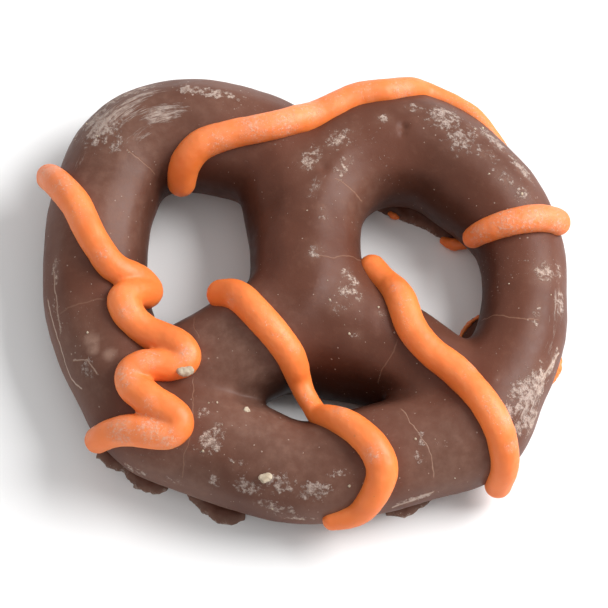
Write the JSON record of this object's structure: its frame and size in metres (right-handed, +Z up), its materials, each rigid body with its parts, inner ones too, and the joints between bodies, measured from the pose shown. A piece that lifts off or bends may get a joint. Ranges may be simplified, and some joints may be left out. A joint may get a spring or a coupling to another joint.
{
  "type": "chocolate covered pretzel",
  "caption": "Classic looped pretzel in a smooth chocolate coat with thick piped lines of orange icing, lying flat.",
  "frame": {"origin": "middle of the bounding box of the pretzel, on the plane it lies on", "axes": "+Z up out of the shown side, +Y towards the notch between the two lobes, +X to the right lobe"},
  "size_m": [0.0604, 0.0538, 0.0144],
  "materials": {
    "chocolate": "satin milk chocolate with scuffs and a little pale bloom",
    "icing": "smooth matte orange icing"
  },
  "bodies": {
    "root": {"chocolate_pretzel": "chocolate"}
  },
  "joints": []
}
